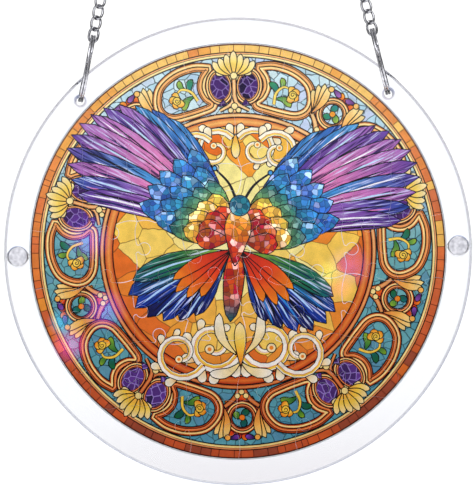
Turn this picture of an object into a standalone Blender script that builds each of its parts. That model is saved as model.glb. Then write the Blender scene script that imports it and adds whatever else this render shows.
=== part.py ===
"""Acrylic puzzle suncatcher.

A round jigsaw lies inside a clear frame ring on a clear back plate, under a clear cover that small
magnets hold on. Two split rings pass through the plates, and one chain runs from ring to ring over
the hook.

Frame: +Z up, the disc's front faces -Y, and the origin is where the hook bears inside the chain's
middle link. Units are metres and radians.
"""

import math
import random

import bmesh
import bpy
from mathutils import Vector

# Cover, frame ring and back plate: one sheet each, stacked along Y with the ring's middle at Y = 0
DISC_RADIUS = 0.075
SHEET_THICKNESS = 0.0020
LAYER_GAP = 0.0002
LAYER_PITCH = SHEET_THICKNESS + LAYER_GAP
PLATE_SIDES = 80
CUTTER_LENGTH = SHEET_THICKNESS * 1.5

# Jigsaw
PUZZLE_RADIUS = 0.0667
FRAME_RING_INNER_RADIUS = 0.06695
COLUMNS = 8
ROWS = 7
KERF = 0.0002
WOBBLE = 0.0016
WOBBLE_TURNS_ACROSS = (1.7, 2.3)
WOBBLE_TURNS_UP = (2.9, -1.3)
CROSSING_TO_RIM = 0.0048
KNOB_RADIUS = 0.0020
KNOB_NECK = 0.0011
KNOB_REACH = 0.0026
KNOB_POINTS = 5
KNOB_DRIFT = 0.06
KNOB_TO_RIM = 0.0015
SHORTEST_KNOBBED_CUT = 0.0115
ARC_STEP = math.radians(7.5)
FLATTEST_MITRE = 0.5
SEED = 11

# Magnets, one pair at each end of the disc's horizontal diameter: one in the cover, one in the ring
MAGNET_RADIUS = 0.0030
MAGNET_CIRCLE = 0.0706
POCKET_RADIUS = 0.0031
MAGNET_SIDES = 18

# Hanging holes and the split rings in them
HOLE_RADIUS = 0.0020
HOLE_CIRCLE = 0.0700
HOLE_ANGLE = math.radians(45)
HOLE_SIDES = 16
RING_RADIUS = 0.0110
RING_WIRE_HEIGHT = 0.0012
RING_WIRE_WIDTH = 0.00079
RING_COIL_GAP = 0.00004
RING_SEAT = 0.0009
RING_STEP_AT = math.radians(77)
RING_STEP = math.radians(24)
RING_YAW = math.radians(4.5)
RING_STATIONS = 48

# Chain: twisted oval links, with the same number in each run below the middle link
LINK_PITCH = 0.0037
LINK_WIDTH = 0.00375
LINK_WIRE = 0.0008
LINK_TWIST = math.radians(40)
LINK_SQUARENESS = 2.6
LINKS_PER_RUN = 54
FULL_LINKS_PER_RUN = 6
LINK_SEGMENTS = 8
LINK_BITE = 0.0002
RING_TO_LINK_GAP = 0.00055
ROPE_WIDE = 0.0015
ROPE_NARROW = 0.0008

# Lengths along a run, measured from its hanging hole towards the hook
RING_MIDDLE = RING_SEAT + RING_RADIUS - RING_WIRE_HEIGHT
RING_INNER_TOP = RING_MIDDLE + RING_RADIUS - RING_WIRE_HEIGHT
RUN_START = RING_INNER_TOP - RING_TO_LINK_GAP
RUN_END = RUN_START + LINKS_PER_RUN * LINK_PITCH

# The runs hang from the two inner ends of the middle link, which lies level on the hook
MIDDLE_LINK_DROP = LINK_WIDTH / 2 - LINK_WIRE
RUN_TOP = Vector((LINK_PITCH / 2, 0, -MIDDLE_LINK_DROP))
HOLE_ACROSS = HOLE_CIRCLE * math.sin(HOLE_ANGLE)
HOLE_UP = HOLE_CIRCLE * math.cos(HOLE_ANGLE)
LEAN = math.asin((HOLE_ACROSS - RUN_TOP.x) / RUN_END)
HOLE_Z = RUN_TOP.z - RUN_END * math.cos(LEAN)
DISC_Z = HOLE_Z - HOLE_UP

FACING_FRONT = (math.pi / 2, 0, 0)
SHARP_ANGLE = math.radians(40)
WELD_DISTANCE = 1e-6


# ---- Scene, collections and materials ----

for old in list(bpy.data.objects):
    bpy.data.objects.remove(old, do_unlink=True)


def new_collection(name):
    collection = bpy.data.collections.new(name)
    bpy.context.scene.collection.children.link(collection)
    return collection


PARTS = new_collection("acrylic_puzzle_suncatcher")
CUTTERS = new_collection("cutters")
CHAIN_LINKS = new_collection("chain_links")


def new_material(name, colour, roughness, metallic=0.0, transmission=0.0):
    material = bpy.data.materials.new(name)
    material.use_nodes = True
    shader = material.node_tree.nodes["Principled BSDF"]
    shader.inputs["Base Color"].default_value = (*colour, 1.0)
    shader.inputs["Roughness"].default_value = roughness
    shader.inputs["Metallic"].default_value = metallic
    shader.inputs["Transmission Weight"].default_value = transmission
    material.diffuse_color = (*colour, 1.0)
    return material


CLEAR_ACRYLIC = new_material("clear_acrylic", (0.97, 0.98, 1.0), 0.03, transmission=1.0)
PRINTED_ACRYLIC = new_material("printed_acrylic", (0.85, 0.47, 0.14), 0.25)
NICKEL = new_material("nickel", (0.80, 0.80, 0.82), 0.30, metallic=1.0)
STEEL = new_material("polished_steel", (0.66, 0.66, 0.68), 0.20, metallic=1.0)


# ---- General helpers ----


def add_object(name, data, collection, material=None):
    thing = bpy.data.objects.new(name, data)
    collection.objects.link(thing)
    if material is not None:
        data.materials.append(material)
    return thing


def as_helper(thing):
    """A helper shapes other pieces and is no piece itself."""
    thing.hide_render = True
    thing.display_type = "WIRE"
    return thing


def round_bar(name, radius, thickness, sides, place, collection=CUTTERS, material=None):
    """A cylinder with its axis along Y and its middle at place. Without a collection it is a cutter."""
    mesh = bpy.data.meshes.new(name)
    form = bmesh.new()
    bmesh.ops.create_cone(
        form, cap_ends=True, segments=sides, radius1=radius, radius2=radius, depth=thickness
    )
    form.to_mesh(mesh)
    form.free()
    mesh.shade_smooth()
    mesh.set_sharp_from_angle(angle=SHARP_ANGLE)
    bar = add_object(name, mesh, collection, material)
    bar.location = place
    bar.rotation_euler = FACING_FRONT
    return bar


def cut(piece, cutter):
    boolean = piece.modifiers.new("cut_" + cutter.name, "BOOLEAN")
    boolean.operation = "DIFFERENCE"
    boolean.solver = "EXACT"
    boolean.object = as_helper(cutter)


def sides():
    """Left and right, each with its sign along X."""
    return (("left", -1), ("right", 1))


# ---- Plates ----


def make_plate(name, y):
    """One round sheet with the two hanging holes."""
    plate = round_bar(name, DISC_RADIUS, SHEET_THICKNESS, PLATE_SIDES, (0, y, DISC_Z), PARTS, CLEAR_ACRYLIC)
    for side, sign in sides():
        place = (sign * HOLE_ACROSS, y, HOLE_Z)
        cut(plate, round_bar(f"{name}_hole_{side}", HOLE_RADIUS, CUTTER_LENGTH, HOLE_SIDES, place))
    return plate


def add_magnets(plate, plate_word, y):
    """A magnet at each end of the plate's horizontal diameter, in a pocket through the plate."""
    for side, sign in sides():
        place = (sign * MAGNET_CIRCLE, y, DISC_Z)
        name = f"magnet_{plate_word}_{side}"
        round_bar(name, MAGNET_RADIUS, SHEET_THICKNESS, MAGNET_SIDES, place, PARTS, NICKEL)
        cut(plate, round_bar(name + "_pocket", POCKET_RADIUS, CUTTER_LENGTH, MAGNET_SIDES, place))


def make_plates():
    cover = make_plate("front_cover", -LAYER_PITCH)
    add_magnets(cover, "cover", -LAYER_PITCH)
    ring = make_plate("frame_ring", 0)
    add_magnets(ring, "ring", 0)
    place = (0, 0, DISC_Z)
    cut(ring, round_bar("frame_ring_opening", FRAME_RING_INNER_RADIUS, CUTTER_LENGTH, PLATE_SIDES, place))
    make_plate("back_plate", LAYER_PITCH)


# ---- Jigsaw, drawn on the disc's face: first number across, second number up ----


def lattice_points():
    """The crossings of the cuts that lie well inside the rim, by column and row."""
    across = 2 * PUZZLE_RADIUS / COLUMNS
    up = 2 * PUZZLE_RADIUS / ROWS
    points = {}
    for column in range(COLUMNS - 1):
        for row in range(ROWS - 1):
            x = (column + 1) * across - PUZZLE_RADIUS
            y = (row + 1) * up - PUZZLE_RADIUS
            if math.hypot(x, y) > PUZZLE_RADIUS - CROSSING_TO_RIM:
                continue
            x += WOBBLE * math.sin(WOBBLE_TURNS_ACROSS[0] * column + WOBBLE_TURNS_ACROSS[1] * row)
            y += WOBBLE * math.cos(WOBBLE_TURNS_UP[0] * column + WOBBLE_TURNS_UP[1] * row)
            points[(column, row)] = Vector((x, y))
    return points


def rim_point(start, direction):
    """Where a straight cut from start meets the puzzle's rim."""
    along = start.dot(direction)
    reach = -along + math.sqrt(along**2 + PUZZLE_RADIUS**2 - start.length_squared)
    return start + direction * reach


def cuts_between(points):
    """Adds the rim's points to points, and gives every cut as two keys, with the rim's keys in order."""
    cuts = []
    rim = []
    for key in list(points):
        to_rim = []
        for step in ((1, 0), (0, 1), (-1, 0), (0, -1)):
            neighbour = (key[0] + step[0], key[1] + step[1])
            if neighbour not in points:
                to_rim.append((key + step, rim_point(points[key], Vector(step))))
            elif step in ((1, 0), (0, 1)):
                cuts.append((key, neighbour))
        # A corner crossing keeps only the longer of its two cuts to the rim, so that no sliver is left
        to_rim.sort(key=lambda found: (found[1] - points[key]).length)
        for rim_key, place in to_rim[-1:]:
            points[rim_key] = place
            cuts.append((key, rim_key))
            rim.append(rim_key)
    rim.sort(key=lambda found: math.atan2(points[found].y, points[found].x))
    return cuts, rim


def knob(start, end, side, place):
    """Points from start up to end, with a round knob at the given share of the way, bulging to one side."""
    along = (end - start).normalized()
    out = Vector((-along.y, along.x)) * side
    middle = start.lerp(end, place)
    head = middle + out * KNOB_REACH
    if head.length + KNOB_RADIUS > PUZZLE_RADIUS - KNOB_TO_RIM:
        out = -out
        head = middle + out * KNOB_REACH
    opening = math.asin(KNOB_NECK / KNOB_RADIUS)
    points = [start, middle - along * KNOB_NECK]
    for number in range(KNOB_POINTS):
        turn = opening + (2 * math.pi - 2 * opening) * number / (KNOB_POINTS - 1)
        points.append(head - (out * math.cos(turn) + along * math.sin(turn)) * KNOB_RADIUS)
    points.append(middle + along * KNOB_NECK)
    return points


def outline_of_cuts(points, cuts, rim):
    """The points along every cut and every stretch of rim, for both directions of travel."""
    chance = random.Random(SEED)
    paths = {}
    for first, last in cuts:
        start = points[first]
        end = points[last]
        side = chance.choice((-1, 1))
        place = 0.5 + chance.uniform(-KNOB_DRIFT, KNOB_DRIFT)
        if (end - start).length > SHORTEST_KNOBBED_CUT:
            path = knob(start, end, side, place)
        else:
            path = [start]
        paths[(first, last)] = path
        paths[(last, first)] = [end] + path[:0:-1]
    for first, last in zip(rim, rim[1:] + rim[:1]):
        begin = math.atan2(points[first].y, points[first].x)
        sweep = (math.atan2(points[last].y, points[last].x) - begin) % (2 * math.pi)
        count = max(1, round(sweep / ARC_STEP))
        arc = [begin + sweep * number / count for number in range(count)]
        path = [Vector((math.cos(turn), math.sin(turn))) * PUZZLE_RADIUS for turn in arc]
        paths[(first, last)] = path
        paths[(last, first)] = [points[last]] + path[:0:-1]
    return paths


def signed_area(outline):
    return sum(a.x * b.y - b.x * a.y for a, b in zip(outline, outline[1:] + outline[:1])) / 2


def pieces_from(points, paths):
    """Walks round every piece with its inside on the left, and gives each piece's outline."""
    around = {}
    for first, last in paths:
        around.setdefault(first, []).append(last)
    for key, others in around.items():
        here = points[key]
        others.sort(key=lambda other: math.atan2(points[other].y - here.y, points[other].x - here.x))
    left = dict.fromkeys(paths)
    outlines = []
    while left:
        step = next(iter(left))
        outline = []
        while step in left:
            del left[step]
            outline += paths[step]
            others = around[step[1]]
            turn = others[others.index(step[0]) - 1]
            step = (step[1], turn)
        if signed_area(outline) > 0:
            outlines.append(outline)
    return outlines


def inset(outline, distance):
    """The outline moved inwards, corner by corner."""
    moved = []
    for before, here, after in zip(outline[-1:] + outline[:-1], outline, outline[1:] + outline[:1]):
        first = (here - before).normalized()
        second = (after - here).normalized()
        inward = Vector((-first.y - second.y, first.x + second.x)).normalized()
        spread = max(FLATTEST_MITRE, Vector((-first.y, first.x)).dot(inward))
        moved.append(here + inward * distance / spread)
    return moved


def flat_piece(name, outline):
    curve = bpy.data.curves.new(name, "CURVE")
    curve.dimensions = "2D"
    curve.fill_mode = "BOTH"
    curve.extrude = SHEET_THICKNESS / 2
    spline = curve.splines.new("POLY")
    spline.points.add(len(outline) - 1)
    for point, place in zip(spline.points, outline):
        point.co = (place.x, place.y, 0, 1)
    spline.use_cyclic_u = True
    piece = add_object(name, curve, PARTS, PRINTED_ACRYLIC)
    piece.location = (0, 0, DISC_Z)
    piece.rotation_euler = FACING_FRONT


def make_puzzle():
    points = lattice_points()
    cuts, rim = cuts_between(points)
    outlines = pieces_from(points, outline_of_cuts(points, cuts, rim))
    row_height = 2 * PUZZLE_RADIUS / ROWS

    def reading_order(outline):
        middle = sum(outline, Vector((0, 0))) / len(outline)
        return (-round(middle.y / row_height), middle.x)

    outlines.sort(key=reading_order)
    for number, outline in enumerate(outlines, start=1):
        flat_piece(f"puzzle_piece_{number:02d}", inset(outline, KERF / 2))


# ---- Split rings ----


def split_ring_mesh():
    """Two turns of flat wire about X, side by side, with one sloping step from turn to turn.

    The ring's top is at +Z, and the step is on the front, RING_STEP_AT down from the top.
    """
    coil_x = (RING_WIRE_WIDTH + RING_COIL_GAP) / 2
    start = RING_STEP_AT + RING_STEP / 2
    sweep = 4 * math.pi - RING_STEP
    step_begins = 2 * math.pi + RING_STEP_AT - RING_STEP / 2
    mesh = bpy.data.meshes.new("split_ring")
    form = bmesh.new()
    previous = None
    for number in range(RING_STATIONS + 1):
        turn = start + sweep * number / RING_STATIONS
        part = min(1.0, max(0.0, (turn - step_begins) / RING_STEP))
        middle = coil_x * (2 * part * part * (3 - 2 * part) - 1)
        section = []
        for across, depth in ((-1, 0), (1, 0), (1, 1), (-1, 1)):
            radius = RING_RADIUS - depth * RING_WIRE_HEIGHT
            x = middle + across * RING_WIRE_WIDTH / 2
            section.append(form.verts.new((x, -radius * math.sin(turn), radius * math.cos(turn))))
        if previous is None:
            form.faces.new(section)
        else:
            for corner in range(4):
                after = (corner + 1) % 4
                form.faces.new((previous[corner], previous[after], section[after], section[corner]))
        previous = section
    form.faces.new(previous[::-1])
    bmesh.ops.recalc_face_normals(form, faces=form.faces)
    form.to_mesh(mesh)
    form.free()
    mesh.shade_smooth()
    mesh.set_sharp_from_angle(angle=SHARP_ANGLE)
    return mesh


def along_run(sign, distance):
    """The point at a distance from the hanging hole along a run; sign is -1 for the left run."""
    hole = Vector((sign * HOLE_ACROSS, 0, HOLE_Z))
    return hole + Vector((-sign * math.sin(LEAN), 0, math.cos(LEAN))) * distance


def make_split_rings():
    """One ring through each hanging hole, its front turned a little towards the middle."""
    mesh = split_ring_mesh()
    mesh.materials.append(STEEL)
    for side, sign in sides():
        ring = add_object("split_ring_" + side, mesh, PARTS)
        ring.location = along_run(sign, RING_MIDDLE)
        ring.rotation_mode = "ZYX"
        ring.rotation_euler = (0, -sign * LEAN, -sign * RING_YAW)


# ---- Chain ----


def mesh_of_curve(curve_object, name, collection):
    """The curve's solid as a mesh object in the same place; the curve is removed."""
    bpy.context.view_layer.update()
    graph = bpy.context.evaluated_depsgraph_get()
    mesh = bpy.data.meshes.new_from_object(curve_object.evaluated_get(graph))
    form = bmesh.new()
    form.from_mesh(mesh)
    bmesh.ops.remove_doubles(form, verts=form.verts, dist=WELD_DISTANCE)
    bmesh.ops.recalc_face_normals(form, faces=form.faces)
    form.to_mesh(mesh)
    form.free()
    mesh.name = name
    solid = add_object(name, mesh, collection)
    solid.matrix_world = curve_object.matrix_world.copy()
    bpy.data.objects.remove(curve_object, do_unlink=True)
    return solid


def link(name, middle, lean, low_twist, high_twist):
    """One oval link of round wire. Its long axis leans in the XZ plane, and its two ends are twisted."""
    half_length = (LINK_PITCH + LINK_WIRE - LINK_BITE) / 2
    half_width = (LINK_WIDTH - LINK_WIRE) / 2
    curve = bpy.data.curves.new(name, "CURVE")
    curve.dimensions = "3D"
    curve.bevel_depth = LINK_WIRE / 2
    curve.bevel_resolution = 0
    spline = curve.splines.new("POLY")
    spline.points.add(LINK_SEGMENTS - 1)
    spline.use_cyclic_u = True
    for number, point in enumerate(spline.points):
        turn = 2 * math.pi * number / LINK_SEGMENTS
        power = 2 / LINK_SQUARENESS
        x = half_width * math.copysign(abs(math.sin(turn)) ** power, math.sin(turn))
        z = half_length * math.copysign(abs(math.cos(turn)) ** power, math.cos(turn))
        twist = z / half_length * (high_twist if z > 0 else low_twist)
        point.co = (x * math.cos(twist), x * math.sin(twist), z, 1)
    wire = add_object(name, curve, CHAIN_LINKS)
    wire.location = middle
    wire.rotation_euler = (0, lean, 0)
    return as_helper(mesh_of_curve(wire, name, CHAIN_LINKS))


def rope(name, start, end, count):
    """A four-sided bar, wide and narrow by turns, that stands for a run of links."""
    curve = bpy.data.curves.new(name, "CURVE")
    curve.dimensions = "3D"
    curve.bevel_depth = 1.0
    curve.bevel_resolution = 0
    curve.use_fill_caps = True
    spline = curve.splines.new("POLY")
    spline.points.add(count)
    for number, point in enumerate(spline.points):
        point.co = (*start.lerp(end, number / count), 1)
        point.radius = ROPE_NARROW if number % 2 == 0 else ROPE_WIDE
    bar = add_object(name, curve, CHAIN_LINKS)
    return as_helper(mesh_of_curve(bar, name, CHAIN_LINKS))


def make_chain():
    middle_place = (0, 0, -MIDDLE_LINK_DROP)
    middle_link = link("middle_link", middle_place, math.pi / 2, 0, 0)
    chain = add_object("chain", middle_link.data.copy(), PARTS, STEEL)
    chain.location = middle_link.location
    chain.rotation_euler = middle_link.rotation_euler
    bpy.data.objects.remove(middle_link, do_unlink=True)
    for side, sign in sides():
        lean = -sign * LEAN
        for number in range(FULL_LINKS_PER_RUN):
            place = along_run(sign, RUN_START + (number + 0.5) * LINK_PITCH)
            low_twist = 0 if number == 0 else LINK_TWIST
            link(f"link_{side}_{number}", place, lean, low_twist, LINK_TWIST)
        rope_start = along_run(sign, RUN_START + FULL_LINKS_PER_RUN * LINK_PITCH - LINK_WIRE)
        rope_end = along_run(sign, RUN_END + LINK_WIRE / 2)
        count = LINKS_PER_RUN - FULL_LINKS_PER_RUN
        rope("rope_" + side, rope_start, rope_end, count)
    union = chain.modifiers.new("fused_links", "BOOLEAN")
    union.operation = "UNION"
    union.solver = "EXACT"
    union.operand_type = "COLLECTION"
    union.collection = CHAIN_LINKS


make_plates()
make_puzzle()
make_split_rings()
make_chain()
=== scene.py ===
import math
import random
from itertools import cycle

import bmesh
import bpy
import numpy as np
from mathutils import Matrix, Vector
from mathutils.geometry import delaunay_2d_cdt


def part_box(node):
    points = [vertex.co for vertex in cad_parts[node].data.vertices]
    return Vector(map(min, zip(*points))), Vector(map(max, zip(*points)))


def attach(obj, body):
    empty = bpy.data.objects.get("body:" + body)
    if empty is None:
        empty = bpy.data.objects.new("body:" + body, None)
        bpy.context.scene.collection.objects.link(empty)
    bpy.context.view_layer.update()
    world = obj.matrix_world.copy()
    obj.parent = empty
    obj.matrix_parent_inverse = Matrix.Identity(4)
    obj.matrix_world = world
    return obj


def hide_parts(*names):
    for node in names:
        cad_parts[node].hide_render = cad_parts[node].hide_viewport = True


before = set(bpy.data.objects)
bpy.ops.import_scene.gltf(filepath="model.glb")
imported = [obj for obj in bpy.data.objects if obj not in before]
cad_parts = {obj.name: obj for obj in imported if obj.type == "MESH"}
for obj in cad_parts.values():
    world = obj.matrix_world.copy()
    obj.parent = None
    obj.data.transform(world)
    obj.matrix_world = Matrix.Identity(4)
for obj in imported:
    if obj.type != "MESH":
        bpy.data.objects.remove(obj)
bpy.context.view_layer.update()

# Everything flat is drawn on the disc's face as complex numbers: real part across, imaginary part up,
# in millimetres from the disc's middle. MM turns millimetres into the frame's metres.
MM = 0.001

# ---- Places and sizes read from the frame ----

COVER_LOW, COVER_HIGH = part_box("front_cover")
RING_LOW, RING_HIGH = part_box("frame_ring")
BACK_LOW, BACK_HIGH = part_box("back_plate")
DISC_Z = (COVER_LOW.z + COVER_HIGH.z) / 2
DISC_RADIUS = (COVER_HIGH.x - COVER_LOW.x) / 2 / MM
SHEET_THICKNESS = (COVER_HIGH.y - COVER_LOW.y) / MM
FRONT_Y = COVER_LOW.y

# ---- Sizes in millimetres that repeat the CAD's ----

PUZZLE_RADIUS = 66.7
FRAME_RING_INNER_RADIUS = 66.95
COLUMNS = 8
ROWS = 7
WOBBLE = 1.6
WOBBLE_TURNS_ACROSS = (1.7, 2.3)
WOBBLE_TURNS_UP = (2.9, -1.3)
CROSSING_TO_RIM = 4.8
KNOB_RADIUS = 2.0
KNOB_NECK = 1.1
KNOB_REACH = 2.6
KNOB_DRIFT = 0.06
KNOB_TO_RIM = 1.5
SHORTEST_KNOBBED_CUT = 11.5
SEED = 11
MAGNET_CIRCLE = 70.6
POCKET_RADIUS = 3.1
MAGNET_RADIUS = 3.0
HOLE_CIRCLE = 70.0
HOLE_RADIUS = 2.0
HOLE_ANGLE = math.radians(45)
RING_RADIUS = 11.0
RING_WIRE_HEIGHT = 1.2
RING_WIRE_WIDTH = 0.79
RING_COIL_GAP = 0.04
RING_SEAT = 0.9
RING_STEP_AT = math.radians(77)
RING_STEP = math.radians(24)
RING_YAW = math.radians(4.5)
LINK_PITCH = 3.7
LINK_WIDTH = 3.75
LINK_WIRE = 0.8
LINK_TWIST = math.radians(40)
LINK_SQUARENESS = 2.6
LINKS_PER_RUN = 54
RING_TO_LINK_GAP = 0.55


# ---- Objects ----

SIDES = (("left", -1), ("right", 1))
WELD_DISTANCE = 1e-6
SHARP_ANGLE = math.radians(35)


def placed(name, data):
    """A new object in the scene."""
    made = bpy.data.objects.new(name, data)
    bpy.context.scene.collection.objects.link(made)
    return made


def curve_mesh(curve, materials):
    """A curve's surface as a mesh of the same name."""
    rough = placed(curve.name + "_curve", curve)
    bpy.context.view_layer.update()
    mesh = bpy.data.meshes.new_from_object(rough.evaluated_get(bpy.context.evaluated_depsgraph_get()))
    bpy.data.objects.remove(rough, do_unlink=True)
    mesh.name = curve.name
    mesh.materials.clear()
    for material in materials:
        mesh.materials.append(material)
    return mesh


def weld(mesh):
    """Joins loose caps to their sides, turns all faces outwards and smooths all but sharp edges."""
    form = bmesh.new()
    form.from_mesh(mesh)
    bmesh.ops.remove_doubles(form, verts=form.verts, dist=WELD_DISTANCE)
    bmesh.ops.recalc_face_normals(form, faces=form.faces)
    form.to_mesh(mesh)
    form.free()
    mesh.shade_smooth()
    mesh.set_sharp_from_angle(angle=SHARP_ANGLE)


# ---- Node graphs ----


class Graph:
    """A node tree under construction: each method adds one node and gives its output socket."""

    def __init__(self, tree):
        self.tree = tree

    def feed(self, socket, value):
        if isinstance(value, bpy.types.NodeSocket):
            self.tree.links.new(value, socket)
        else:
            socket.default_value = value

    def node(self, kind, inputs=(), **settings):
        made = self.tree.nodes.new("ShaderNode" + kind)
        for name, value in settings.items():
            setattr(made, name, value)
        for name, value in inputs:
            self.feed(made.inputs[name], value)
        return made

    def maths(self, operation, first, second=0.0):
        return self.node("Math", ((0, first), (1, second)), operation=operation).outputs[0]

    def vector(self, operation, first, second, output=0):
        return self.node("VectorMath", ((0, first), (1, second)), operation=operation).outputs[output]

    def scaled(self, vector, factor):
        return self.node("VectorMath", ((0, vector), ("Scale", factor)), operation="SCALE").outputs[0]

    def mix(self, factor, first, second, mode="MIX"):
        inputs = ((0, factor), (6, first), (7, second))
        return self.node("Mix", inputs, data_type="RGBA", blend_type=mode).outputs[2]

    def grey(self, value):
        """A grey of the given value."""
        return self.node("CombineColor", ((0, value), (1, value), (2, value))).outputs[0]

    def channels(self, colour):
        return self.node("SeparateColor", ((0, colour),)).outputs

    def between(self, value, low, high, to_low=0.0, to_high=1.0):
        """Smoothly from to_low at low to to_high at high."""
        inputs = ((0, value), (1, low), (2, high), (3, to_low), (4, to_high))
        return self.node("MapRange", inputs, interpolation_type="SMOOTHSTEP").outputs[0]

    def ramp(self, value, stops):
        made = self.node("ValToRGB", ((0, value),))
        points = made.color_ramp.elements
        while len(points) < len(stops):
            points.new(1.0)
        for point, (place, colour) in zip(points, stops):
            point.position = place
            point.color = rgba(colour)
        return made.outputs[0]

    def noise(self, vector, scale, detail):
        return self.node("TexNoise", (("Vector", vector), ("Scale", scale), ("Detail", detail)))

    def mottle(self, vector, scale, detail, low, high):
        """Smooth noise between two values."""
        return self.between(self.noise(vector, scale, detail).outputs[0], 0.3, 0.7, low, high)

    def voronoi(self, vector, cell, feature, randomness):
        inputs = (("Vector", vector), ("Scale", 1 / cell), ("Randomness", randomness))
        return self.node("TexVoronoi", inputs, feature=feature, voronoi_dimensions="2D")

    def object_place(self):
        return self.node("TexCoord").outputs["Object"]

    def disc_place(self):
        """Across and up from the disc's middle, in millimetres."""
        split = self.node("SeparateXYZ", ((0, self.object_place()),))
        across = self.maths("MULTIPLY", split.outputs[0], 1 / MM)
        up = self.maths("MULTIPLY", self.maths("SUBTRACT", split.outputs[2], DISC_Z), 1 / MM)
        return self.node("CombineXYZ", ((0, across), (1, up))).outputs[0]


class Finish(Graph):
    """A material's node tree."""

    def __init__(self, name):
        self.material = bpy.data.materials.new(name)
        self.material.use_nodes = True
        super().__init__(self.material.node_tree)
        self.shader = self.tree.nodes["Principled BSDF"]

    def bump(self, height, distance):
        inputs = (("Height", height), ("Distance", distance), ("Strength", 1.0))
        self.feed(self.shader.inputs["Normal"], self.node("Bump", inputs).outputs[0])

    def surface(self, **values):
        """Sets the shader's inputs, by name with _ for a space."""
        for name, value in values.items():
            self.feed(self.shader.inputs[name.replace("_", " ")], value)


def linear(channel):
    return channel / 12.92 if channel <= 0.04045 else ((channel + 0.055) / 1.055) ** 2.4


def rgb(colour):
    """A colour given as red, green and blue from 0 to 255, as the linear values that shaders take."""
    return tuple(linear(channel / 255) for channel in colour)


def rgba(colour):
    return (*rgb(colour), 1.0)


# ---- Colours ----

LINE_BROWN = (40, 18, 10)
LINE_NAVY = (12, 14, 48)
LINE_TEAL = (34, 62, 72)
GOLD_DEEP = (238, 162, 92)
GOLD = (255, 206, 118)
GOLD_PALE = (255, 236, 172)
CREAM = (255, 240, 196)
IVORY = (255, 250, 232)
RIM_BROWN = (134, 66, 34)
EDGE_BROWN = (104, 50, 24)
COPPER = (230, 130, 62)
# A coppery tint that moulding colours take towards the print's foot: painted shade.
PAINTED_COPPER_SHADE = (238, 186, 158)
PEACH = (250, 190, 132)
TILES = ((252, 208, 118), (246, 180, 86), (240, 158, 82), (236, 146, 84), (228, 140, 88), (200, 128, 94))
SKY = (220, 240, 246)
TEAL = (150, 202, 200)
PURPLE = (88, 44, 122)
BLUE = (34, 96, 184)
AZURE = (84, 172, 226)
ICE = (206, 232, 250)
NAVY = (20, 40, 120)
VIOLET = (112, 74, 172)
MAUVE = (176, 116, 196)
PINK = (238, 150, 200)
WHITE = (255, 252, 255)
SEA = (24, 142, 150)
GREEN = (52, 152, 92)
LIME = (176, 204, 82)
RED = (208, 42, 34)
FLAME = (236, 98, 36)
AMBER = (250, 172, 52)
YELLOW = (255, 226, 112)

GOLDEN_STOPS = (
    (0.0, (255, 250, 176)),
    (0.44, (255, 242, 146)),
    (0.58, (254, 214, 86)),
    (0.69, (250, 168, 48)),
    (0.84, (236, 116, 30)),
)

# Which crackle a part of the picture has: glass panels, scales, golden middle, purple roundels
PLAIN = (0, 0, 0, 0)
PANELS = (1, 0, 0, 0)
SCALES = (0, 1, 0, 0)
MIDDLE = (0, 0, 1, 0)
ROUNDELS = (0, 0, 0, 1)


# ---- Outlines ----

# A curl's points for each turn, and its last radius as a share of its first
CURL_STEPS = 18
CURL_END = 0.22


def turned(points, degrees):
    return points * np.exp(1j * math.radians(degrees))


def circle(middle, radius, count):
    return middle + radius * np.exp(2j * np.pi * np.arange(count) / count)


def arc(middle, radius, start, end, count):
    """Points on a circle from start to end, in degrees anticlockwise from the right."""
    return middle + radius * np.exp(1j * np.radians(np.linspace(start, end, count)))


def blade(base, tip, width, widest=0.6, bend=0.0, steps=10, grow=0.0):
    """A leaf, feather or petal: narrow at its base, round at its tip, and grow wider all round."""
    along = tip - base
    share = np.linspace(0, 1, steps)
    share = share - np.sin(2 * np.pi * share) * 0.06
    middle = base + along * share + 1j * along * bend * np.sin(np.pi * share)
    low = (np.clip(share / widest, 0, 1)) ** 0.75
    high = np.sqrt(np.clip(1 - (np.clip(share - widest, 0, 1) / (1 - widest)) ** 2, 0, 1))
    half = width / 2 * np.minimum(low, high) + grow
    tangent = np.gradient(middle)
    tangent /= abs(tangent)
    middle[0] -= tangent[0] * grow
    middle[-1] += tangent[-1] * grow
    side = 1j * tangent * half
    side[-1] *= 0.45 if grow else 0
    return np.concatenate([middle + side, (middle - side)[::-1]])


def spiral(start, middle, turns):
    """A curl from start round middle, drawing in; turns is negative for a clockwise curl."""
    count = max(6, int(abs(turns) * CURL_STEPS))
    share = np.linspace(0, 1, count)
    shrink = (1 - share) + share * CURL_END
    return middle + (start - middle) * shrink * np.exp(2j * np.pi * turns * share)


def curve_through(points, steps=6):
    """A smooth line through the points."""
    points = np.asarray(points, complex)
    ends = np.concatenate([[2 * points[0] - points[1]], points, [2 * points[-1] - points[-2]]])
    made = []
    share = np.linspace(0, 1, steps, endpoint=False)
    for a, b, c, d in zip(ends, ends[1:], ends[2:], ends[3:]):
        cubic = (3 * (b - c) + d - a) * share**3 + (2 * a - 5 * b + 4 * c - d) * share**2
        made.append((cubic + (c - a) * share + 2 * b) / 2)
    return np.concatenate(made + [points[-1:]])


def stroke(path, width, closed):
    """The outline of a line drawn along path; width is one number, or one for each point."""
    if closed:
        tangent = np.roll(path, -1) - np.roll(path, 1)
    else:
        tangent = np.gradient(path)
    side = 1j * tangent / abs(tangent) * width / 2
    left = path + side
    right = path - side
    if closed:
        left = np.append(left, left[0])
        right = np.append(right, right[0])
    return np.concatenate([left, right[::-1]])


def distance_from(path, points):
    """How far each point is from a line."""
    start = path[:-1][None, :]
    step = np.diff(path)[None, :]
    offset = points[:, None] - start
    share = np.clip((offset * np.conj(step)).real / np.maximum(abs(step) ** 2, 1e-12), 0, 1)
    return abs(offset - step * share).min(1)


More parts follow.
